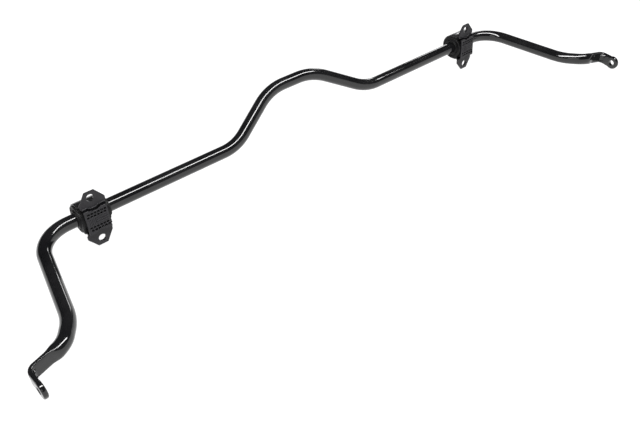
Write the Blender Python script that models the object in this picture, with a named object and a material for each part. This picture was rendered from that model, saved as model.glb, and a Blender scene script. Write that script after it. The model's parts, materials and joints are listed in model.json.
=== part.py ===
"""Car stabilizer bar (sway bar) with its two bushing clamps.

Metres, +Z up. The bar's long middle run lies along X and its arms reach towards -Y, the front.
The part stands on the lower ends of its two clamps and on its two link eyes, and the
origin is the middle of its bounding box at that level.
"""

import math

import bmesh
import bpy
from mathutils import Matrix, Vector

# ---------------------------------------------------------------- driving dimensions
MM = 0.001
GAP = 0.3 * MM                      # clearance kept between pieces that touch

BAR_RADIUS = 10.0 * MM
BAR_SIDES = 20                      # corners of the bar's round section
DEGREES_PER_RING = 8.0              # how far a bend turns between two sections

# The centre line of the right half, from the middle outwards, measured from the bar's axis:
# (x, y, z) in mm and the radius of the bend there. The left half is its mirror image.
CENTRE_LINE = (
    ((44.6, 31.6, 51.9), 101.6),    # end of the hump's level top
    ((139.7, 0.0, 0.0), 83.6),      # foot of the hump
    ((464.7, 0.0, 0.0), 52.6),      # bend into the arm
    ((495.4, -158.4, -20.8), 81.7),  # first bend at the arm's tip
    ((516.7, -190.6, -21.9), 32.0),  # second bend at the arm's tip
    ((563.0, -199.8, -29.0), 9.5),  # sharp fold between the web and the eye plate
    ((561.4, -224.9, -33.5), 0.0),  # centre of the link eye
)
HUMP_TOP = (0.0, 31.6, 51.9)        # mm, the hump's middle
WEB_START, FOLD, EYE = (Vector(place) * MM for place, _ in CENTRE_LINE[-3:])
WEB_RING_GAP = 3.5 * MM             # longest step between two sections of the flattened end

EYE_RADIUS = 11.8 * MM
EYE_HOLE_RADIUS = 5.2 * MM
EYE_THICKNESS = 6.4 * MM
WEB_THICKNESS = 6.3 * MM
WEB_HEIGHT = 19.5 * MM              # flattened bar, before its fold
NECK_HEIGHT = 21.5 * MM             # flattened bar, where it meets the eye
FLATTEN_FROM = 6.0 * MM             # after the arm's second tip bend's corner
FLATTEN_OVER = 17.0 * MM            # length of the change from round to flat
SQUARENESS = 5.0                    # power of the flattened section's rounded rectangle

CLAMP_X = 386.3 * MM                # each clamp's middle, from the bar's middle
CLAMP_DROP = 1.5 * MM               # the bolts' middle lies this far below the bar's axis
SHEET = 2.0 * MM                    # thickness of both pressed sheets
FLANGE_FRONT = 15.0 * MM            # front face of the flanges, ahead of the bar's axis
FLANGE_HALF_HEIGHT = 43.8 * MM
FLANGE_HALF_WIDTH = 20.0 * MM
# One tapered end of each pressing, from right to left: (x, z) in mm from the bolts' middle.
# The other end is the same outline turned half a turn.
PLATE_END = ((20.0, 28.5), (8.0, 43.8), (-6.5, 43.8), (-17.5, 27.0))
STRAP_END = ((18.0, 24.5), (12.5, 32.0), (5.5, 41.0), (-5.5, 41.0), (-12.5, 32.0), (-18.0, 24.5))
BOLT_OFFSET = 33.8 * MM             # bolt holes above and below the clamp's middle
BOLT_HOLE_RADIUS = 5.6 * MM
PAN_DEPTH = 6.0 * MM                # the plate's raised face stands this far ahead of its flange
PAN_HALF_HEIGHT = 19.8 * MM
PAN_HALF_WIDTH = 16.8 * MM
SCALLOP_RADIUS = 16.5 * MM          # room for a bolt's head, pressed into the pan's ends
STRAP_RADIUS = 22.5 * MM            # outside of the strap's round back

BORE_RADIUS = BAR_RADIUS + GAP
BUSHING_HALF_LENGTH = 20.3 * MM      # between the lips at its two ends
HEAD_HALF_LENGTH = 16.5 * MM        # the part that fills the plate's raised face
SHOULDER_RADIUS = 18.2 * MM
LEFT_LIP_RADIUS = 20.2 * MM         # both clamps wear the bushing's wider lip on their left
RIGHT_LIP_RADIUS = 15.0 * MM
LIP_END = 22.4 * MM
COLLAR_RADIUS = 14.0 * MM
COLLAR_HALF_LENGTH = 24.2 * MM
INLAY_RADIUS = 16.0 * MM            # outside of the stiffening shell inside the rubber
INLAY_THICKNESS = 1.5 * MM
INLAY_HALF_LENGTH = 17.5 * MM
ROUND_STEPS = 16                    # straight pieces in half a circle

# The bar's axis in the part's frame: the clamps' lower ends are at z = 0, and the
# bounding box is centred on y = 0.
AXIS_Z = FLANGE_HALF_HEIGHT + CLAMP_DROP
REACH_FRONT = EYE_RADIUS - EYE.y
REACH_BACK = BAR_RADIUS + HUMP_TOP[1] * MM
AXIS_Y = (REACH_FRONT - REACH_BACK) / 2

# ---------------------------------------------------------------- materials and collections


def make_material(name, colour, roughness, metallic, coat):
    material = bpy.data.materials.new(name)
    material.use_nodes = True
    shader = material.node_tree.nodes["Principled BSDF"]
    shader.inputs["Base Color"].default_value = (*colour, 1.0)
    shader.inputs["Roughness"].default_value = roughness
    shader.inputs["Metallic"].default_value = metallic
    shader.inputs["Coat Weight"].default_value = coat
    return material


def clear_scene():
    for item in list(bpy.data.objects):
        bpy.data.objects.remove(item, do_unlink=True)


def make_collection(name):
    collection = bpy.data.collections.new(name)
    bpy.context.scene.collection.children.link(collection)
    return collection


clear_scene()
PARTS = make_collection("stabilizer_bar_assembly")
CUTTERS = make_collection("cutters")
FINISHES = {
    "bar_paint": make_material("bar_paint", (0.012, 0.012, 0.012), 0.18, 0.0, 0.6),
    "plate_coating": make_material("plate_coating", (0.028, 0.027, 0.030), 0.55, 0.0, 0.0),
    "strap_paint": make_material("strap_paint", (0.012, 0.012, 0.012), 0.25, 0.0, 0.4),
    "rubber": make_material("rubber", (0.015, 0.015, 0.016), 0.75, 0.0, 0.0),
    "inlay_metal": make_material("inlay_metal", (0.55, 0.56, 0.58), 0.40, 1.0, 0.0),
}

# ---------------------------------------------------------------- general shape tools


def add_object(name, mesh, collection, finish=None):
    item = bpy.data.objects.new(name, mesh)
    collection.objects.link(item)
    if finish:
        item.data.materials.append(FINISHES[finish])
    return item


def tidy_mesh(mesh):
    """Welds the seams that a curve's caps leave, and turns every face outwards."""
    bm = bmesh.new()
    bm.from_mesh(mesh)
    bmesh.ops.remove_doubles(bm, verts=bm.verts, dist=0.001 * MM)
    bmesh.ops.recalc_face_normals(bm, faces=bm.faces)
    bm.to_mesh(mesh)
    bm.free()


def prism(name, loops, axis, low, high):
    """A flat outline (with any holes as further loops) drawn across an axis and run along it.

    Loops across X are (y, z) points, and loops across Y are (x, z) points.
    """
    curve = bpy.data.curves.new(name + "_outline", "CURVE")
    curve.dimensions = "2D"
    curve.fill_mode = "BOTH"
    curve.extrude = (high - low) / 2
    for loop in loops:
        spline = curve.splines.new("POLY")
        spline.points.add(len(loop) - 1)
        for point, (u, v) in zip(spline.points, loop):
            point.co = (u, v, 0.0, 1.0)
        spline.use_cyclic_u = True
    guide = bpy.data.objects.new(name + "_outline", curve)
    bpy.context.scene.collection.objects.link(guide)
    seen = guide.evaluated_get(bpy.context.evaluated_depsgraph_get())
    mesh = bpy.data.meshes.new_from_object(seen)
    mesh.name = name
    bpy.data.objects.remove(guide, do_unlink=True)

    middle = (low + high) / 2
    if axis == "X":
        turn = Matrix(((0, 0, 1, middle), (1, 0, 0, 0), (0, 1, 0, 0), (0, 0, 0, 1)))
    else:
        turn = Matrix(((1, 0, 0, 0), (0, 0, -1, middle), (0, 1, 0, 0), (0, 0, 0, 1)))
    mesh.transform(turn)
    tidy_mesh(mesh)
    return mesh


def arc(centre, radius, start, end, steps):
    """Points along an arc in the plane, both ends included. Angles in degrees."""
    points = []
    for i in range(steps + 1):
        angle = math.radians(start + (end - start) * i / steps)
        points.append((centre[0] + radius * math.cos(angle), centre[1] + radius * math.sin(angle)))
    return points


def circle(centre, radius, steps):
    return arc(centre, radius, 0.0, 360.0, steps)[:-1]


def combine(item, mesh, operation):
    """Adds a solid to a piece, or cuts it away, with a live Boolean."""
    cutter = add_object(f"{item.name}_{mesh.name}", mesh, CUTTERS)
    cutter.parent = item.parent
    cutter.hide_render = True
    cutter.display_type = "WIRE"
    change = item.modifiers.new(operation.lower() + "_" + mesh.name, "BOOLEAN")
    change.operation = operation
    change.object = cutter
    change.solver = "EXACT"


# ---------------------------------------------------------------- the bar


def bend(before, corner, after, radius):
    """The stations of a round bend at a corner: (point, direction) pairs along its arc."""
    into = (corner - before).normalized()
    out = (after - corner).normalized()
    turn = into.angle(out)
    reach = radius * math.tan(turn / 2)
    start = corner - into * reach
    inward = (out - into * out.dot(into)).normalized()
    centre = start + inward * radius
    steps = max(2, math.ceil(math.degrees(turn) / DEGREES_PER_RING))
    stations = []
    for i in range(steps + 1):
        angle = turn * i / steps
        point = centre - inward * radius * math.cos(angle) + into * radius * math.sin(angle)
        stations.append((point, into * math.cos(angle) + inward * math.sin(angle)))
    return stations


def half_centre_line():
    """Stations of the right half, from the middle of the hump to the centre of the eye."""
    corners = [Vector(HUMP_TOP) * MM] + [Vector(place) * MM for place, _ in CENTRE_LINE]
    radii = [0.0] + [radius * MM for _, radius in CENTRE_LINE]
    stations = [(corners[0], Vector((1, 0, 0)))]
    for i in range(1, len(corners) - 1):
        stations += bend(corners[i - 1], corners[i], corners[i + 1], radii[i])
    last = (corners[-1] - corners[-2]).normalized()
    stations.append((corners[-1], last))
    return stations


def flatness(point):
    """0 where the bar is round, rising smoothly to 1 where it is pressed flat."""
    if point.x < WEB_START.x:
        return 0.0
    along = (FOLD - WEB_START).normalized()
    share = ((point - WEB_START).dot(along) - FLATTEN_FROM) / FLATTEN_OVER
    share = min(1.0, max(0.0, share))
    return share * share * (3 - 2 * share)


def with_flattening(stations):
    """Adds stations along the web, so that the change from round to flat is a smooth one."""
    dense = []
    for (here, way), (there, next_way) in zip(stations, stations[1:]):
        dense.append((here, way))
        gap = (there - here).length
        if here.x > WEB_START.x:
            pieces = math.ceil(gap / WEB_RING_GAP)
            for i in range(1, pieces):
                dense.append((here.lerp(there, i / pieces), way))
    dense.append(stations[-1])
    return dense


def ring_of(point, way):
    """One section of the bar: a circle, or the rounded rectangle it is pressed into."""
    flat = flatness(point)
    past_fold = min(1.0, max(0.0, (FOLD.y - point.y) / (FOLD.y - EYE.y)))
    flat_height = WEB_HEIGHT + (NECK_HEIGHT - WEB_HEIGHT) * past_fold
    half_height = BAR_RADIUS + (flat_height / 2 - BAR_RADIUS) * flat
    half_width = BAR_RADIUS + (WEB_THICKNESS / 2 - BAR_RADIUS) * flat
    power = 2 / (2 + (SQUARENESS - 2) * flat)
    up = (Vector((0, 0, 1)) - way * way.z).normalized()
    side = way.cross(up)
    ring = []
    for i in range(BAR_SIDES):
        angle = 2 * math.pi * i / BAR_SIDES
        across = math.copysign(abs(math.cos(angle)) ** power, math.cos(angle))
        high = math.copysign(abs(math.sin(angle)) ** power, math.sin(angle))
        ring.append(point + side * half_width * across + up * half_height * high)
    return ring


def eye_plane(side):
    """The link eye's centre and its frame: X through the hole, Z up the plate."""
    eye = EYE
    forward = (EYE - FOLD).normalized()
    up = (Vector((0, 0, 1)) - forward * forward.z).normalized()
    through = forward.cross(up)
    turn = Matrix((through, forward, up)).transposed()
    if side < 0:
        flip = Matrix.Diagonal((-1, 1, 1))
        turn = flip @ turn @ flip
        eye = flip @ eye
    return Matrix.Translation(eye) @ turn.to_4x4()


def eye_disc(name, side, radius, thickness, steps):
    mesh = prism(name, [circle((0, 0), radius, steps)], "X", -thickness / 2, thickness / 2)
    mesh.transform(eye_plane(side))
    return mesh


def build_bar():
    half = with_flattening(half_centre_line())
    rings = [ring_of(point, way) for point, way in half]
    mirrored = [[Vector((-p.x, p.y, p.z)) for p in ring] for ring in reversed(rings[1:])]

    bm = bmesh.new()
    loops = [[bm.verts.new(p) for p in ring] for ring in mirrored + rings]
    for here, there in zip(loops, loops[1:]):
        for i in range(BAR_SIDES):
            j = (i + 1) % BAR_SIDES
            bm.faces.new((here[i], here[j], there[j], there[i]))
    bm.faces.new(loops[0])
    bm.faces.new(loops[-1])
    bmesh.ops.recalc_face_normals(bm, faces=bm.faces)
    mesh = bpy.data.meshes.new("stabilizer_bar")
    bm.to_mesh(mesh)
    bm.free()
    mesh.shade_smooth()
    mesh.set_sharp_from_angle(angle=math.radians(35))

    bar = add_object("stabilizer_bar", mesh, PARTS, "bar_paint")
    bar.parent = AXIS
    for side, word in ((-1, "left"), (1, "right")):
        combine(bar, eye_disc(word + "_eye", side, EYE_RADIUS, EYE_THICKNESS, 32), "UNION")
    for side, word in ((-1, "left"), (1, "right")):
        hole = eye_disc(word + "_eye_hole", side, EYE_HOLE_RADIUS, 2 * EYE_THICKNESS, 24)
        combine(bar, hole, "DIFFERENCE")


# ---------------------------------------------------------------- the clamps


def scalloped(half_width, half_height, radius):
    """A rectangle whose top and bottom are drawn in round the bolt holes."""
    rise = BOLT_OFFSET - half_height
    reach = math.sqrt(radius * radius - rise * rise)
    lean = math.degrees(math.atan2(rise, reach))
    loop = [(half_width, -half_height), (half_width, half_height)]
    loop += arc((0, BOLT_OFFSET), radius, -lean, lean - 180, 10)
    loop += [(-half_width, half_height), (-half_width, -half_height)]
    loop += arc((0, -BOLT_OFFSET), radius, 180 - lean, lean, 10)
    return [(x, z - CLAMP_DROP) for x, z in loop]


def plate_outline():
    """The front plate seen from the front: tapered flange ends and a slightly narrower middle."""
    top = [(PAN_HALF_WIDTH, PAN_HALF_HEIGHT), (FLANGE_HALF_WIDTH, PAN_HALF_HEIGHT + 2 * SHEET)]
    top += [(x * MM, z * MM) for x, z in PLATE_END]
    top += [(-FLANGE_HALF_WIDTH + SHEET, PAN_HALF_HEIGHT + 2 * SHEET), (-PAN_HALF_WIDTH, PAN_HALF_HEIGHT)]
    loop = top + [(-x, -z) for x, z in top]
    return [(x, z - CLAMP_DROP) for x, z in loop]


def flange_outline(sign, root):
    """One tapered end of the strap, from its root to its tip. sign is 1 for the top one."""
    width = STRAP_END[0][0] * MM
    loop = [(-width, root), (width, root)] + [(x * MM, z * MM) for x, z in STRAP_END]
    return [(x, sign * z - CLAMP_DROP) for x, z in loop]


def bolt_hole(sign):
    return circle((0, sign * BOLT_OFFSET - CLAMP_DROP), BOLT_HOLE_RADIUS, 24)


def build_plate(word, carrier):
    flange = [plate_outline(), bolt_hole(1), bolt_hole(-1)]
    mesh = prism(word + "_clamp_plate", flange, "Y", -FLANGE_FRONT, -FLANGE_FRONT + SHEET)
    plate = add_object(word + "_clamp_plate", mesh, PARTS, "plate_coating")
    plate.parent = carrier
    face = -FLANGE_FRONT - PAN_DEPTH
    outside = scalloped(PAN_HALF_WIDTH, PAN_HALF_HEIGHT, SCALLOP_RADIUS)
    combine(plate, prism("pan", [outside], "Y", face, -FLANGE_FRONT + SHEET), "UNION")
    # The hollow runs out through both sides, where the rubber shows.
    inside = scalloped(FLANGE_HALF_WIDTH + SHEET, PAN_HALF_HEIGHT - SHEET, SCALLOP_RADIUS + SHEET)
    combine(plate, prism("hollow", [inside], "Y", face + SHEET, -FLANGE_FRONT + 2 * SHEET), "DIFFERENCE")


def build_strap(word, carrier):
    front = -FLANGE_FRONT + SHEET + GAP
    inner = STRAP_RADIUS - SHEET
    loop = [(front, STRAP_RADIUS)]
    loop += arc((0, 0), STRAP_RADIUS, 90, -90, ROUND_STEPS)
    loop += [(front, -STRAP_RADIUS), (front, -inner)]
    loop += arc((0, 0), inner, -90, 90, ROUND_STEPS)
    loop += [(front, inner)]
    mesh = prism(word + "_clamp_strap", [loop], "X", -FLANGE_HALF_WIDTH, FLANGE_HALF_WIDTH)
    strap = add_object(word + "_clamp_strap", mesh, PARTS, "strap_paint")
    strap.parent = carrier
    for sign, end in ((1, "upper"), (-1, "lower")):
        root = STRAP_RADIUS - SHEET / 2 + sign * CLAMP_DROP
        flange = [flange_outline(sign, root), bolt_hole(sign)]
        combine(strap, prism(end + "_flange", flange, "Y", front, front + SHEET), "UNION")


def half_ring(inner, outer, half, overrun):
    """Half a ring across X: half is 1 for the rear and -1 for the front.

    overrun moves its cut faces past the plane between the halves.
    """
    turn = 90 if half > 0 else 270
    lean_out = math.degrees(math.asin(overrun / outer))
    lean_in = math.degrees(math.asin(overrun / inner))
    loop = arc((0, 0), outer, turn + lean_out, turn - 180 - lean_out, ROUND_STEPS)
    return loop + arc((0, 0), inner, turn - 180 - lean_in, turn + lean_in, ROUND_STEPS)


def build_bushing_half(word, carrier, half):
    place = "rear" if half > 0 else "front"
    name = f"{word}_bushing_{place}"
    split = half * GAP / 2
    outer = STRAP_RADIUS - SHEET - GAP
    if half > 0:
        lean = math.degrees(math.asin(GAP / 2 / outer))
        shell = arc((0, 0), outer, 90 - lean, lean - 90, ROUND_STEPS)
    else:
        front = -FLANGE_FRONT + SHEET + GAP
        shell = [(split, -outer), (front, -outer), (front, outer), (split, outer)]
    bore = half_ring(BORE_RADIUS, COLLAR_RADIUS, half, -GAP / 2)[ROUND_STEPS + 1:]
    mesh = prism(name, [shell + bore], "X", -BUSHING_HALF_LENGTH, BUSHING_HALF_LENGTH)
    bushing = add_object(name, mesh, PARTS, "rubber")
    bushing.parent = carrier

    lip = half_ring(BORE_RADIUS, LEFT_LIP_RADIUS, half, -GAP / 2)
    combine(bushing, prism("left_lip", [lip], "X", -LIP_END, -BUSHING_HALF_LENGTH), "UNION")
    lip = half_ring(BORE_RADIUS, RIGHT_LIP_RADIUS, half, -GAP / 2)
    combine(bushing, prism("right_lip", [lip], "X", BUSHING_HALF_LENGTH, LIP_END), "UNION")
    collar = half_ring(BORE_RADIUS, COLLAR_RADIUS, half, -GAP / 2)
    combine(bushing, prism("collar", [collar], "X", -COLLAR_HALF_LENGTH, COLLAR_HALF_LENGTH), "UNION")
    if half < 0:
        shoulder = half_ring(BORE_RADIUS, SHOULDER_RADIUS, half, -GAP / 2)
        combine(bushing, prism("shoulder", [shoulder], "X", -BUSHING_HALF_LENGTH, BUSHING_HALF_LENGTH), "UNION")
        head = scalloped(HEAD_HALF_LENGTH, PAN_HALF_HEIGHT - SHEET - GAP, SCALLOP_RADIUS + SHEET + GAP)
        tip = -FLANGE_FRONT - PAN_DEPTH + SHEET + GAP
        combine(bushing, prism("head", [head], "Y", tip, front + SHEET), "UNION")
    pocket = half_ring(INLAY_RADIUS - INLAY_THICKNESS - GAP, INLAY_RADIUS + GAP, half, SHEET)
    reach = INLAY_HALF_LENGTH + GAP
    combine(bushing, prism("pocket", [pocket], "X", -reach, reach), "DIFFERENCE")

    name = f"{word}_bushing_inlay_{place}"
    loop = half_ring(INLAY_RADIUS - INLAY_THICKNESS, INLAY_RADIUS, half, -GAP / 2)
    mesh = prism(name, [loop], "X", -INLAY_HALF_LENGTH, INLAY_HALF_LENGTH)
    inlay = add_object(name, mesh, PARTS, "inlay_metal")
    inlay.parent = carrier


def build_clamp(word, side):
    carrier = bpy.data.objects.new(word + "_clamp", None)
    PARTS.objects.link(carrier)
    carrier.location = (side * CLAMP_X, AXIS_Y, AXIS_Z)
    build_plate(word, carrier)
    build_strap(word, carrier)
    build_bushing_half(word, carrier, -1)
    build_bushing_half(word, carrier, 1)


AXIS = bpy.data.objects.new("bar_axis", None)
PARTS.objects.link(AXIS)
AXIS.location = (0, AXIS_Y, AXIS_Z)
build_bar()
build_clamp("left", -1)
build_clamp("right", 1)
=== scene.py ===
"""The looks of a car's stabilizer bar and its two bushing clamps.

Metres, in the CAD part's own frame: +X along the bar's middle run, +Y to its back, +Z up.
"""

import json
import math
from collections import Counter

import bpy
from mathutils import Matrix, Vector


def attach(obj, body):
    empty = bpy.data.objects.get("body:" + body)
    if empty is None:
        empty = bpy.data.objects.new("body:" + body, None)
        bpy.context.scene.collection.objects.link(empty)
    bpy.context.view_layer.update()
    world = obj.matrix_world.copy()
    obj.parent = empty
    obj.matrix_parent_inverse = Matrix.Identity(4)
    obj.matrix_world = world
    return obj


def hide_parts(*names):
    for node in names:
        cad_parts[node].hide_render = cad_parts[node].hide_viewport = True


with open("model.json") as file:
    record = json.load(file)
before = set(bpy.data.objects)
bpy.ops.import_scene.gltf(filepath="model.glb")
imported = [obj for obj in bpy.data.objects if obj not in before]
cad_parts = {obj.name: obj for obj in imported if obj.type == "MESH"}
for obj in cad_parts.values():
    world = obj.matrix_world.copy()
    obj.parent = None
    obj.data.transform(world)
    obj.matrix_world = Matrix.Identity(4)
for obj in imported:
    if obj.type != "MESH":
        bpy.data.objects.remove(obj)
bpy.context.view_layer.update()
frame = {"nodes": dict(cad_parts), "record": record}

MM = 0.001
GAP = 0.3 * MM

# The bar's axis and the clamps' middles come from the frame's own hinges.
HINGES = {joint["child"]: Vector(joint["pos_m"]) for joint in frame["record"]["behaviour"]["joints"]}
AXIS = Vector((0.0, HINGES["left_clamp"].y, HINGES["left_clamp"].z))

BAR_RADIUS = 10.0 * MM
BAR_SIDES = 80
# The right half's corners from the hump outwards, in mm from the bar's axis, and each bend's radius.
HUMP_TOP = (0.0, 31.6, 51.9)
CENTRE_LINE = (
    ((44.6, 31.6, 51.9), 101.6),
    ((139.7, 0.0, 0.0), 83.6),
    ((464.7, 0.0, 0.0), 52.6),
    ((495.4, -158.4, -20.8), 81.7),
    ((516.7, -190.6, -21.9), 32.0),
    ((563.0, -199.8, -29.0), 9.5),
    ((561.4, -224.9, -33.5), 0.0),
)
WEB_START, FOLD, EYE = (Vector(place) * MM for place, _ in CENTRE_LINE[-3:])
EYE_RADIUS = 11.8 * MM
EYE_HOLE_RADIUS = 5.2 * MM
EYE_THICKNESS = 6.4 * MM
WEB_THICKNESS = 6.3 * MM
WEB_HEIGHT = 19.5 * MM
NECK_HEIGHT = 21.5 * MM
FLATTEN_FROM = 6.0 * MM
FLATTEN_OVER = 17.0 * MM

BOLT_DROP = 1.5 * MM            # the bolts' middle lies this far below the bar's axis
BOLT_OFFSET = 33.8 * MM
BOLT_HOLE_RADIUS = 5.6 * MM
SHEET = 2.0 * MM
FLANGE_FRONT = 15.0 * MM
PAN_DEPTH = 6.0 * MM
PAN_HALF_HEIGHT = 19.8 * MM
PAN_HALF_WIDTH = 16.8 * MM
SCALLOP_RADIUS = 16.5 * MM
STRAP_RADIUS = 22.5 * MM
STRAP_HALF_WIDTH = 20.0 * MM

# The plate's right edge from bottom to top: height and half width in mm, from the bolts' middle.
PLATE_EDGE = (
    (-43.8, 6.5), (-27.0, 17.5), (-23.8, 18.0), (-19.8, 16.8),
    (19.8, 16.8), (23.8, 20.0), (28.5, 20.0), (43.8, 8.0),
)
PLATE_HEIGHT = 87.6 * MM
PLATE_COLUMNS, PLATE_ROWS = 92, 198
POCKET_ROWS = (8.6 * MM, 13.0 * MM)
POCKETS_IN_ROW = 6
POCKET_PITCH = 4.9 * MM
POCKET_HALF_WIDTH = 1.75 * MM
POCKET_HALF_HEIGHT = 1.5 * MM
POCKET_DEPTH = 1.2 * MM
OUTER_ROW_SHIFT = 1.2 * MM
RIB_BAND_HALF_HEIGHT = 6.0 * MM
RIB_BAND_HALF_WIDTH = 14.5 * MM
RIB_HEIGHT = 0.3 * MM

BORE_RADIUS = 10.3              # in mm, as the bushing's section is written

SIDES = ("left", "right")
RENDER_WIDTH = 640
FLOOR_LEVEL = -0.004
WALL_HEIGHT = 1.3

# ---------------------------------------------------------------- camera, light and floor


def aim(item, place, target):
    item.location = place
    item.rotation_euler = (Vector(target) - Vector(place)).to_track_quat("-Z", "Y").to_euler()


def set_camera():
    """A steady view from the front left, a little above the bar."""
    right = Vector((0.7598, -0.6461, -0.0725)).normalized()
    ahead = Vector((0.4925, 0.6448, -0.5846)).normalized()
    down = ahead.cross(right).normalized()
    right = down.cross(ahead)
    place = AXIS + Vector((-0.62498, -0.83596, 0.54582))
    lens = bpy.data.cameras.new("camera")
    camera = bpy.data.objects.new("camera", lens)
    bpy.context.scene.collection.objects.link(camera)
    turn = Matrix((right, -down, -ahead)).transposed().to_4x4()
    camera.matrix_world = Matrix.Translation(place) @ turn
    lens.sensor_width = 36
    lens.lens = 39.375
    lens.shift_x = -0.5 / RENDER_WIDTH
    lens.shift_y = 0.5 / RENDER_WIDTH
    lens.clip_start = 0.01
    bpy.context.scene.camera = camera


def add_area_light(name, place, target, width, depth, power):
    data = bpy.data.lights.new(name, "AREA")
    data.shape = "RECTANGLE"
    data.size = width
    data.size_y = depth
    data.energy = power
    light = bpy.data.objects.new(name, data)
    bpy.context.scene.collection.objects.link(light)
    aim(light, place, target)


def set_stage(item, name):
    """Marks the floor or wall as stage, and makes it bright by itself so that no shadow shows."""
    item.name = "studio_" + name
    pale = bpy.data.materials.new("pale_" + name)
    pale.use_nodes = True
    shader = pale.node_tree.nodes["Principled BSDF"]
    shader.inputs["Base Color"].default_value = (0.12, 0.12, 0.12, 1.0)
    shader.inputs["Roughness"].default_value = 0.9
    shader.inputs["Specular IOR Level"].default_value = 0.0
    shader.inputs["Emission Color"].default_value = (1.0, 1.0, 1.0, 1.0)
    shader.inputs["Emission Strength"].default_value = 1.0
    item.data.materials.append(pale)


def set_studio():
    world = bpy.data.worlds.new("studio")
    world.use_nodes = True
    world.node_tree.nodes["Background"].inputs["Color"].default_value = (0.03, 0.03, 0.032, 1.0)
    bpy.context.scene.world = world
    bpy.context.scene.view_settings.view_transform = "Standard"

    # A long slim lamp above draws the one bright line along the bar. The back lamp lights
    # the right strap's top, and the front lamp fills a little.
    add_area_light("line_lamp", (0.0, -0.5, 1.55), (0.0, 0.05, 0.0), 3.0, 0.25, 64)
    add_area_light("back_lamp", (2.87, 2.16, 1.38), (0.39, 0.1, 0.05), 0.6, 0.5, 7)
    add_area_light("front_lamp", (-1.2, -1.6, 1.0), (0.0, 0.0, 0.05), 1.0, 0.6, 4)

    bpy.ops.mesh.primitive_plane_add(size=16, location=(0, 0, FLOOR_LEVEL))
    set_stage(bpy.context.object, "floor")

    # A low pale wall all round lifts the bright edge mirrored in the paint.
    bpy.ops.mesh.primitive_cylinder_add(
        vertices=96, radius=7.5, depth=WALL_HEIGHT, end_fill_type="NOTHING",
        location=(0, 0, FLOOR_LEVEL + WALL_HEIGHT / 2),
    )
    set_stage(bpy.context.object, "wall")


# ---------------------------------------------------------------- finishes


def new_finish(name, colour, roughness, metallic=0.0):
    finish = bpy.data.materials.new(name)
    finish.use_nodes = True
    shader = finish.node_tree.nodes["Principled BSDF"]
    shader.inputs["Base Color"].default_value = (*colour, 1.0)
    shader.inputs["Roughness"].default_value = roughness
    shader.inputs["Metallic"].default_value = metallic
    return finish, finish.node_tree, shader


def noise_on_object(tree, scale, detail):
    places = tree.nodes.new("ShaderNodeTexCoord")
    noise = tree.nodes.new("ShaderNodeTexNoise")
    noise.inputs["Scale"].default_value = scale
    noise.inputs["Detail"].default_value = detail
    tree.links.new(places.outputs["Object"], noise.inputs["Vector"])
    return noise.outputs["Fac"]


def spread(tree, source, low, high, to_low, to_high, socket):
    """Feeds a socket with a value mapped from one range to another."""
    node = tree.nodes.new("ShaderNodeMapRange")
    node.inputs["From Min"].default_value = low
    node.inputs["From Max"].default_value = high
    node.inputs["To Min"].default_value = to_low
    node.inputs["To Max"].default_value = to_high
    tree.links.new(source, node.inputs["Value"])
    tree.links.new(node.outputs["Result"], socket)


def tint(tree, source, dark, light, socket):
    """Feeds a socket with a colour between two shades."""
    ramp = tree.nodes.new("ShaderNodeValToRGB")
    for stop, position, colour in zip(ramp.color_ramp.elements, (0.35, 0.68), (dark, light)):
        stop.position = position
        stop.color = (*colour, 1.0)
    tree.links.new(source, ramp.inputs["Fac"])
    tree.links.new(ramp.outputs["Color"], socket)


def bumps(tree, shader, source, strength, height):
    bump = tree.nodes.new("ShaderNodeBump")
    bump.inputs["Strength"].default_value = strength
    bump.inputs["Distance"].default_value = height
    tree.links.new(source, bump.inputs["Height"])
    tree.links.new(bump.outputs["Normal"], shader.inputs["Normal"])


def set_coat(shader, weight, roughness):
    shader.inputs["Coat Weight"].default_value = weight
    shader.inputs["Coat Roughness"].default_value = roughness


def make_gloss_paint():
    """Dipped gloss black with a few duller patches."""
    finish, tree, shader = new_finish("bar_gloss_paint", (0.006, 0.006, 0.0065), 0.10)
    set_coat(shader, 0.2, 0.04)
    patches = noise_on_object(tree, 24, 3)
    spread(tree, patches, 0.4, 0.75, 0.08, 0.19, shader.inputs["Roughness"])
    dark, light = (0.0045, 0.0045, 0.005), (0.009, 0.009, 0.0095)
    tint(tree, patches, dark, light, shader.inputs["Base Color"])
    return finish


def make_plate_coat():
    """Matte dark grey dip coat over a pressed sheet, finely grained, with painted shade in its
    pockets and on the pan's walls.
    """
    finish, tree, shader = new_finish("plate_matte_coat", (0.013, 0.0125, 0.0145), 0.55)
    clouds = noise_on_object(tree, 130, 4)
    spread(tree, clouds, 0.3, 0.7, 0.42, 0.6, shader.inputs["Roughness"])
    bumps(tree, shader, noise_on_object(tree, 900, 3), 0.5, 0.00015)

    # Painted shade: the pockets and the pan's walls are coloured near black and lose most of their
    # sheen, where shade falls on the real plate.
    hollow = tree.nodes.new("ShaderNodeAttribute")
    hollow.attribute_name = "hollow"
    spread(tree, hollow.outputs["Fac"], 0.0, 1.0, 0.35, 0.02, shader.inputs["Specular IOR Level"])
    shade = tree.nodes.new("ShaderNodeMix")
    shade.data_type = "RGBA"
    open_colour, hollow_colour, mixed = shade.inputs[6], shade.inputs[7], shade.outputs[2]
    hollow_colour.default_value = (0.0015, 0.0015, 0.0018, 1.0)
    tint(tree, clouds, (0.010, 0.0095, 0.0115), (0.018, 0.0172, 0.020), open_colour)
    tree.links.new(hollow.outputs["Fac"], shade.inputs["Factor"])
    tree.links.new(mixed, shader.inputs["Base Color"])
    return finish


def make_strap_paint():
    """Semi-gloss black over rolled strip, slightly uneven."""
    finish, tree, shader = new_finish("strap_paint", (0.009, 0.009, 0.0095), 0.24)
    set_coat(shader, 0.25, 0.12)
    waves = noise_on_object(tree, 300, 3)
    spread(tree, waves, 0.35, 0.7, 0.16, 0.36, shader.inputs["Roughness"])
    dark, light = (0.007, 0.007, 0.0075), (0.014, 0.014, 0.0145)
    tint(tree, waves, dark, light, shader.inputs["Base Color"])
    bumps(tree, shader, waves, 0.15, 0.0001)
    return finish


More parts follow.
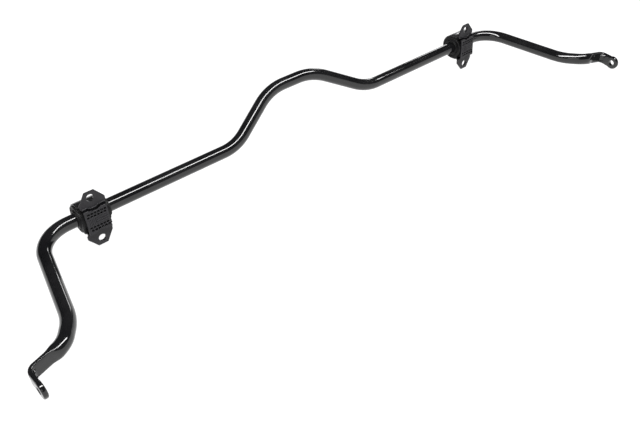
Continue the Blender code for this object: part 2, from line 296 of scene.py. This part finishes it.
def make_rubber():
    """Moulded rubber: near black, dusty in its pores."""
    finish, tree, shader = new_finish("moulded_rubber", (0.005, 0.005, 0.0053), 0.5)
    shader.inputs["Specular IOR Level"].default_value = 0.2
    dust = noise_on_object(tree, 180, 5)
    spread(tree, dust, 0.3, 0.75, 0.42, 0.65, shader.inputs["Roughness"])
    dark, light = (0.003, 0.003, 0.0033), (0.008, 0.008, 0.0083)
    tint(tree, dust, dark, light, shader.inputs["Base Color"])
    bumps(tree, shader, noise_on_object(tree, 1500, 2), 0.2, 0.00008)
    return finish


def make_inlay_metal():
    """Bare pressed aluminium."""
    finish, tree, shader = new_finish("inlay_aluminium", (0.55, 0.56, 0.58), 0.4, 1.0)
    drawn = noise_on_object(tree, 500, 3)
    spread(tree, drawn, 0.3, 0.7, 0.32, 0.5, shader.inputs["Roughness"])
    tint(tree, drawn, (0.48, 0.49, 0.51), (0.62, 0.63, 0.65), shader.inputs["Base Color"])
    return finish


# ---------------------------------------------------------------- bench tools


def take(piece):
    """Picks one piece and nothing else."""
    bpy.ops.object.select_all(action="DESELECT")
    piece.select_set(True)
    bpy.context.view_layer.objects.active = piece


def open_whole(piece):
    """Opens a piece with all of it picked."""
    take(piece)
    bpy.context.tool_settings.mesh_select_mode = (True, False, False)
    bpy.ops.object.mode_set(mode="EDIT")
    bpy.ops.mesh.select_all(action="SELECT")


def pick(piece, kind, test):
    """Opens a piece with the corners, edges or faces picked that pass a test, and nothing else."""
    mesh = piece.data
    for group in (mesh.vertices, mesh.edges, mesh.polygons):
        group.foreach_set("select", [False] * len(group))
    for item in {"VERT": mesh.vertices, "EDGE": mesh.edges, "FACE": mesh.polygons}[kind]:
        if test(item):
            item.select = True
            if kind != "VERT":
                for i in item.vertices:
                    mesh.vertices[i].select = True
    take(piece)
    bpy.context.tool_settings.mesh_select_mode = (kind == "VERT", kind == "EDGE", kind == "FACE")
    bpy.ops.object.mode_set(mode="EDIT")


def close_edit():
    bpy.ops.object.mode_set(mode="OBJECT")


def apply_modifier(piece, kind, **settings):
    take(piece)
    change = piece.modifiers.new(kind.lower(), kind)
    for name, value in settings.items():
        setattr(change, name, value)
    bpy.ops.object.modifier_apply(modifier=change.name)


def join_solid(piece, tool, operation):
    """Welds a solid on or cuts it out, and throws the tool away."""
    apply_modifier(piece, "BOOLEAN", operation=operation, object=tool, solver="EXACT")
    bpy.data.objects.remove(tool, do_unlink=True)


def settle(piece):
    """Puts the piece's place into its mesh."""
    take(piece)
    bpy.ops.object.transform_apply(location=True, rotation=True, scale=True)


def clean(piece):
    """Merges doubles and turns every face outwards."""
    open_whole(piece)
    bpy.ops.mesh.remove_doubles(threshold=0.01 * MM)
    bpy.ops.mesh.normals_make_consistent(inside=False)
    close_edit()


def smooth(piece, degrees):
    take(piece)
    bpy.ops.object.shade_smooth_by_angle(angle=math.radians(degrees))


def finish_piece(piece, name, material, body, slot, *nodes):
    piece.name = name
    piece.data.name = name
    piece.data.materials.clear()
    piece.data.materials.append(material)
    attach(piece, body)
    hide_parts(*nodes)


def cylinder(centre, radius, length, along, corners=64):
    turn = Vector(along).to_track_quat("Z", "Y").to_euler()
    bpy.ops.mesh.primitive_cylinder_add(
        vertices=corners, radius=radius, depth=length, location=centre, rotation=turn
    )
    piece = bpy.context.object
    settle(piece)
    return piece


def block(low, high):
    low, high = Vector(low), Vector(high)
    bpy.ops.mesh.primitive_cube_add(size=1, location=(low + high) / 2, scale=high - low)
    piece = bpy.context.object
    settle(piece)
    return piece


def outline(points):
    """A flat n-sided face whose corners are then pulled to their places."""
    bpy.ops.mesh.primitive_circle_add(vertices=len(points), radius=0.01, fill_type="NGON")
    piece = bpy.context.object
    settle(piece)
    for corner, place in zip(piece.data.vertices, points):
        corner.co = place
    return piece


def bevel_rims(piece, width):
    angle = math.radians(50)
    apply_modifier(piece, "BEVEL", width=width, segments=2, limit_method="ANGLE", angle_limit=angle)


def ease(value, low, high):
    """Rises smoothly from 0 at one value to 1 at another."""
    share = min(1.0, max(0.0, (value - low) / (high - low)))
    return share * share * (3 - 2 * share)


# ---------------------------------------------------------------- the bar


def press_flat(piece, stations):
    """Presses the round ends between flat dies: each ring becomes a rounded rectangle."""
    along_web = (FOLD - WEB_START).normalized()
    rings = [[] for _ in stations]
    for corner in piece.data.vertices:
        here = corner.co - AXIS
        if here.x < WEB_START.x - 20 * MM:
            continue
        for ring, (point, way) in zip(rings, stations):
            if abs((here - point).dot(way)) < 1e-5 and abs((here - point).length - BAR_RADIUS) < 1e-5:
                ring.append(corner)
                break
    for ring, (point, way) in zip(rings, stations):
        flat = ease((point - WEB_START).dot(along_web), FLATTEN_FROM, FLATTEN_FROM + FLATTEN_OVER)
        if point.x < WEB_START.x or flat == 0:
            continue
        past_fold = min(1.0, max(0.0, (FOLD.y - point.y) / (FOLD.y - EYE.y)))
        high = WEB_HEIGHT + (NECK_HEIGHT - WEB_HEIGHT) * past_fold
        half_height = BAR_RADIUS + (high / 2 - BAR_RADIUS) * flat
        half_width = BAR_RADIUS + (WEB_THICKNESS / 2 - BAR_RADIUS) * flat
        power = 2 / (2 + 3 * flat)
        up = (Vector((0, 0, 1)) - way * way.z).normalized()
        side = way.cross(up)
        for corner in ring:
            spoke = (corner.co - AXIS - point) / BAR_RADIUS
            across, rise = spoke.dot(side), spoke.dot(up)
            across = math.copysign(abs(across) ** power, across)
            rise = math.copysign(abs(rise) ** power, rise)
            corner.co = AXIS + point + side * half_width * across + up * half_height * rise


def extrude_run(here, there, way, stations):
    """A straight run, in short steps where the bar is pressed flat."""
    steps = math.ceil((there - here).length / (1.2 * MM)) if here.x > WEB_START.x else 1
    for step in range(1, steps + 1):
        bpy.ops.mesh.extrude_region_move(TRANSFORM_OT_translate={"value": (there - here) / steps})
        stations.append((here.lerp(there, step / steps), way))


def roll_bar():
    """The right half as one tube: straight runs are extruded and bends are spun."""
    corners = [Vector(HUMP_TOP) * MM] + [Vector(place) * MM for place, _ in CENTRE_LINE]
    radii = [0.0] + [radius * MM for _, radius in CENTRE_LINE]
    bpy.ops.mesh.primitive_circle_add(
        vertices=BAR_SIDES, radius=BAR_RADIUS, location=AXIS + corners[0],
        rotation=(0, math.pi / 2, 0),
    )
    bar = bpy.context.object
    settle(bar)
    open_whole(bar)
    here = corners[0]
    stations = [(here, Vector((1, 0, 0)))]
    for i in range(1, len(corners) - 1):
        into = (corners[i] - corners[i - 1]).normalized()
        out = (corners[i + 1] - corners[i]).normalized()
        turn = into.angle(out)
        start = corners[i] - into * radii[i] * math.tan(turn / 2)
        inward = (out - into * out.dot(into)).normalized()
        centre = start + inward * radii[i]
        extrude_run(here, start, into, stations)
        steps = max(6, math.ceil(math.degrees(turn) / 3))
        # The spin tool turns clockwise for a positive angle.
        bpy.ops.mesh.spin(steps=steps, angle=-turn, center=AXIS + centre, axis=into.cross(inward))
        for step in range(1, steps + 1):
            angle = turn * step / steps
            point = centre - inward * radii[i] * math.cos(angle) + into * radii[i] * math.sin(angle)
            stations.append((point, into * math.cos(angle) + inward * math.sin(angle)))
        here = stations[-1][0]
    extrude_run(here, corners[-1], out, stations)
    bpy.ops.mesh.edge_face_add()
    close_edit()
    return bar, stations


def eye_frame():
    """The right link eye's centre, the way through its hole, and up its plate."""
    forward = (EYE - FOLD).normalized()
    up = (Vector((0, 0, 1)) - forward * forward.z).normalized()
    return AXIS + EYE, forward.cross(up)


def forge_eye(bar):
    """Stamps the round eye onto the flattened end, softens its rims and punches its hole."""
    centre, through = eye_frame()
    disc = cylinder(centre, EYE_RADIUS, EYE_THICKNESS, through, 96)

    def on_a_rim(edge):
        a, b = (disc.data.vertices[i].co for i in edge.vertices)
        return abs((a - b).dot(through)) < 1e-6

    pick(disc, "EDGE", on_a_rim)
    bpy.ops.mesh.bevel(offset=2.2 * MM, segments=6)
    close_edit()
    join_solid(bar, disc, "UNION")
    join_solid(bar, cylinder(centre, EYE_HOLE_RADIUS, 4 * EYE_THICKNESS, through, 64), "DIFFERENCE")


def make_bar(paint):
    bar, stations = roll_bar()
    press_flat(bar, stations)
    # The tube's open end at the middle is capped while the eye is welded on.
    pick(bar, "VERT", lambda corner: abs(corner.co.x) < 1e-6)
    bpy.ops.mesh.edge_face_add()
    close_edit()
    clean(bar)
    forge_eye(bar)
    pick(bar, "VERT", lambda corner: abs(corner.co.x) < 1e-5)
    bpy.ops.mesh.delete(type="ONLY_FACE")
    close_edit()
    apply_modifier(bar, "MIRROR", use_axis=(True, False, False), merge_threshold=0.00001)
    clean(bar)
    smooth(bar, 32)
    finish_piece(bar, "painted_bar", paint, "bar", "bar_paint", "stabilizer_bar")


# ---------------------------------------------------------------- the clamps


def pan_rise(x, z, inset=0.0):
    """How far the plate stands ahead of its flanges at one place. x and z from the bolts' middle."""
    to_bolt = math.hypot(x, abs(z) - BOLT_OFFSET) - SCALLOP_RADIUS
    inside = min(PAN_HALF_HEIGHT - abs(z), to_bolt) - inset
    return PAN_DEPTH * ease(inside, -1.6 * MM, 1.4 * MM)


def pan_pattern(x, z):
    """The face's pressed pattern: two rows of small pockets at each end, faint ribs between."""
    relief = 0.0
    for row in POCKET_ROWS:
        shift = OUTER_ROW_SHIFT if row == POCKET_ROWS[-1] else 0.0
        for i in range(POCKETS_IN_ROW):
            middle = (i - (POCKETS_IN_ROW - 1) / 2) * POCKET_PITCH + shift
            away = max(abs(x - middle) / POCKET_HALF_WIDTH, abs(abs(z) - row) / POCKET_HALF_HEIGHT)
            relief -= POCKET_DEPTH * (1 - ease(away, 0.65, 1.15))
    if abs(z) < RIB_BAND_HALF_HEIGHT and abs(x) < RIB_BAND_HALF_WIDTH:
        fade = ease(RIB_BAND_HALF_HEIGHT - abs(z), 0.0, 1.2 * MM)
        # Upright ribs on the left, level ones on the rest.
        place, pitch = (z, 3.4 * MM) if x > -3 * MM else (x, 2.3 * MM)
        relief += RIB_HEIGHT * fade * math.cos(2 * math.pi * place / pitch)
    return relief


def plate_side(z):
    """How far right the plate's right edge runs, at a height from the bolts' middle."""
    for (low, start), (high, end) in zip(PLATE_EDGE, PLATE_EDGE[1:]):
        if z <= high * MM + 1e-9:
            return (start + (end - start) * (z / MM - low) / (high - low)) * MM


def bolt_distance(place, bolts):
    return min((place - bolt).length for bolt in bolts)


def cut_bolt_holes(plate, bolts):
    """Opens the holes in the flat grid and pulls their stepped rims onto circles."""
    pick(plate, "FACE", lambda face: bolt_distance(face.center, bolts) < BOLT_HOLE_RADIUS)
    bpy.ops.mesh.delete(type="FACE")
    close_edit()
    uses = Counter(key for face in plate.data.polygons for key in face.edge_keys)
    rim = {i for key, count in uses.items() if count == 1 for i in key}
    for i in rim:
        for bolt in bolts:
            spoke = plate.data.vertices[i].co - bolt
            if spoke.length < BOLT_HOLE_RADIUS + 1 * MM:
                plate.data.vertices[i].co = bolt + spoke.normalized() * BOLT_HOLE_RADIUS
    # Corners that now lie almost on top of each other become one.
    pick(plate, "VERT", lambda corner: bolt_distance(corner.co, bolts) < BOLT_HOLE_RADIUS + 0.01 * MM)
    bpy.ops.mesh.remove_doubles(threshold=0.15 * MM)
    close_edit()


def press(plate, centre, front):
    """Presses the flat sheet: its front takes the pattern, its back only the pan's shape."""
    # Marks the pan's walls and the pockets for painted shade, which the plate coat turns near black.
    hollow = plate.data.attributes.new("hollow", "FLOAT", "POINT")
    for corner in plate.data.vertices:
        x, z = corner.co.x - centre.x, corner.co.z - centre.z
        behind = min(1.0, max(0.0, (corner.co.y - front) / SHEET))
        rise = pan_rise(x, z)
        relief = pan_pattern(x, z) if rise > 0.9 * PAN_DEPTH else 0.0
        corner.co.y -= (rise + relief) * (1 - behind) + pan_rise(x, z, 0.9 * MM) * behind
        on_wall = min(1.0, 2.4 * (1 - abs(2 * rise / PAN_DEPTH - 1)))
        in_pocket = min(1.0, max(0.0, -relief / (POCKET_DEPTH / 2)))
        hollow.data[corner.index].value = max(on_wall, in_pocket)


def make_plate(word, coat):
    """One pressed sheet: flat tapered ends, a raised face with a waffle pattern, two bolt holes."""
    centre = HINGES[word + "_clamp"] + Vector((0, 0, -BOLT_DROP))
    front = centre.y - FLANGE_FRONT
    bpy.ops.mesh.primitive_grid_add(
        x_subdivisions=PLATE_COLUMNS, y_subdivisions=PLATE_ROWS, size=1,
        location=(centre.x, front, centre.z), rotation=(math.pi / 2, 0, 0),
    )
    plate = bpy.context.object
    plate.scale = (1, PLATE_HEIGHT, 1)
    settle(plate)
    for corner in plate.data.vertices:
        share, z = corner.co.x - centre.x + 0.5, corner.co.z - centre.z
        corner.co.x = centre.x - plate_side(-z) * (1 - share) + plate_side(z) * share
    heights = (centre.z + BOLT_OFFSET, centre.z - BOLT_OFFSET)
    cut_bolt_holes(plate, [Vector((centre.x, front, height)) for height in heights])
    open_whole(plate)
    bpy.ops.mesh.extrude_region_move(TRANSFORM_OT_translate={"value": (0, SHEET, 0)})
    close_edit()
    clean(plate)
    bevel_rims(plate, 0.3 * MM)
    press(plate, centre, front)
    smooth(plate, 40)
    node = word + "_clamp_plate"
    finish_piece(plate, word + "_pressed_plate", coat, word + "_clamp", "plate_coating", node)


def make_strap(word, paint):
    """A strip bent round the bushing, with a tapered ear at each end."""
    axis = HINGES[word + "_clamp"]
    round_back = STRAP_RADIUS - SHEET / 2
    ear_y = -FLANGE_FRONT + SHEET + GAP + SHEET / 2
    bend = 2.2 * MM
    # Each ear's half width at its tip, its shoulder and its root, and how far from the bolts' middle.
    tip_half, shoulder_half, root_half = 5.5 * MM, 12.5 * MM, 18.0 * MM
    tip, shoulder = 41.0 * MM, 32.0 * MM

    bpy.ops.mesh.primitive_plane_add(size=1)
    strap = bpy.context.object
    settle(strap)
    low, high = shoulder - BOLT_DROP, tip - BOLT_DROP
    places = [(-shoulder_half, low), (shoulder_half, low), (-tip_half, high), (tip_half, high)]
    for corner, (x, z) in zip(strap.data.vertices, places):
        corner.co = axis + Vector((x, ear_y, z))
    here = Vector((shoulder_half, ear_y, low))

    def draw(half_width, y, z):
        """Draws the strip's end out to a new place and width. Both are kept in here."""
        path = (0, y - here.y, z - here.z)
        bpy.ops.mesh.extrude_region_move(TRANSFORM_OT_translate={"value": path})
        middle = axis + Vector((0, y, z))
        bpy.ops.transform.resize(value=(half_width / here.x, 1, 1), center_override=middle)
        here.xyz = half_width, y, z

    def roll(degrees, y, z, steps):
        """Bends the strip's end about a line across it, backwards for a positive angle."""
        middle = axis + Vector((0, y, z))
        bpy.ops.mesh.spin(steps=steps, angle=-math.radians(degrees), center=middle, axis=(1, 0, 0))

    pick(strap, "VERT", lambda corner: corner.co.z < axis.z + low + 0.1 * MM)
    draw(root_half, ear_y, round_back + bend)
    roll(90, ear_y + bend, round_back + bend, 6)
    here.yz = ear_y + bend, round_back
    draw(STRAP_HALF_WIDTH, ear_y + bend + 1.5 * MM, round_back)
    draw(STRAP_HALF_WIDTH, 0.0, round_back)
    roll(-180, 0.0, 0.0, 48)
    here.yz = 0.0, -round_back
    draw(STRAP_HALF_WIDTH, ear_y + bend + 1.5 * MM, -round_back)
    draw(root_half, ear_y + bend, -round_back)
    roll(90, ear_y + bend, -round_back - bend, 6)
    here.yz = ear_y, -round_back - bend
    draw(shoulder_half, ear_y, -shoulder - BOLT_DROP)
    draw(tip_half, ear_y, -tip - BOLT_DROP)
    close_edit()
    clean(strap)
    apply_modifier(strap, "SOLIDIFY", thickness=SHEET, offset=0.0, use_even_offset=True)
    bevel_rims(strap, 0.45 * MM)
    for sign in (1, -1):
        hole = axis + Vector((0, ear_y, sign * BOLT_OFFSET - BOLT_DROP))
        join_solid(strap, cylinder(hole, BOLT_HOLE_RADIUS, 8 * MM, (0, 1, 0), 48), "DIFFERENCE")
    smooth(strap, 30)
    node = word + "_clamp_strap"
    finish_piece(strap, word + "_bent_strap", paint, word + "_clamp", "strap_paint", node)


def half_bushing(word, half):
    """One moulded half, spun about the bar's axis from its long section, given in mm."""
    axis = HINGES[word + "_clamp"]
    body = 20.2 if half > 0 else 18.2
    section = [
        (-24.2, BORE_RADIUS), (-24.2, 13.5), (-23.7, 14.0), (-22.4, 14.2), (-21.5, 14.8),
        (-21.5, 16.6), (-22.4, 17.2), (-22.4, 19.7), (-22.1, 20.1), (-21.6, 20.2),
        (-20.3, 20.2), (-20.3, body),
        (20.3, body), (20.3, 15.0), (22.1, 15.0), (22.4, 14.7), (22.4, 14.0), (23.7, 14.0),
        (24.2, 13.5), (24.2, BORE_RADIUS),
    ]
    # The rear half's body is as high as its rim, so this corner would come twice.
    if half > 0:
        section.remove((-20.3, 20.2))
    piece = outline([axis + Vector((x * MM, 0, r * MM)) for x, r in section])
    open_whole(piece)
    bpy.ops.mesh.spin(steps=40, angle=half * math.pi, center=axis, axis=(1, 0, 0))
    close_edit()
    clean(piece)
    return piece


def add_jaw(piece, axis):
    """Welds the front half's square jaw on, with the head that fills the plate's pan."""
    jaw = block(axis + Vector((-20.3, -12.7, -20.2)) * MM, axis + Vector((20.3, 0.0, 20.2)) * MM)
    head = block(axis + Vector((-16.0, -18.4, -16.6)) * MM, axis + Vector((16.0, -12.0, 13.6)) * MM)
    join_solid(jaw, head, "UNION")
    # Cut wider than the bore, so that the spun wall alone makes the bore.
    join_solid(jaw, cylinder(axis, 13.0 * MM, 60 * MM, (1, 0, 0)), "DIFFERENCE")
    join_solid(piece, jaw, "UNION")


def make_bushing(word, rubber):
    axis = HINGES[word + "_clamp"]
    for half, place in ((-1, "front"), (1, "rear")):
        piece = half_bushing(word, half)
        if half < 0:
            add_jaw(piece, axis)
        for corner in piece.data.vertices:
            corner.co.y += half * GAP / 2
        clean(piece)
        smooth(piece, 35)
        name, node = f"{word}_rubber_{place}", f"{word}_bushing_{place}"
        finish_piece(piece, name, rubber, word + "_clamp", "rubber", node)


set_camera()
set_studio()
GLOSS = make_gloss_paint()
COAT = make_plate_coat()
STRAP_PAINT = make_strap_paint()
RUBBER = make_rubber()
INLAY = make_inlay_metal()

make_bar(GLOSS)
for side in SIDES:
    make_plate(side, COAT)
    make_bushing(side, RUBBER)
    make_strap(side, STRAP_PAINT)
    for end in ("front", "rear"):
        node = frame["nodes"][f"{side}_bushing_inlay_{end}"]
        node.material_slots[0].material = INLAY
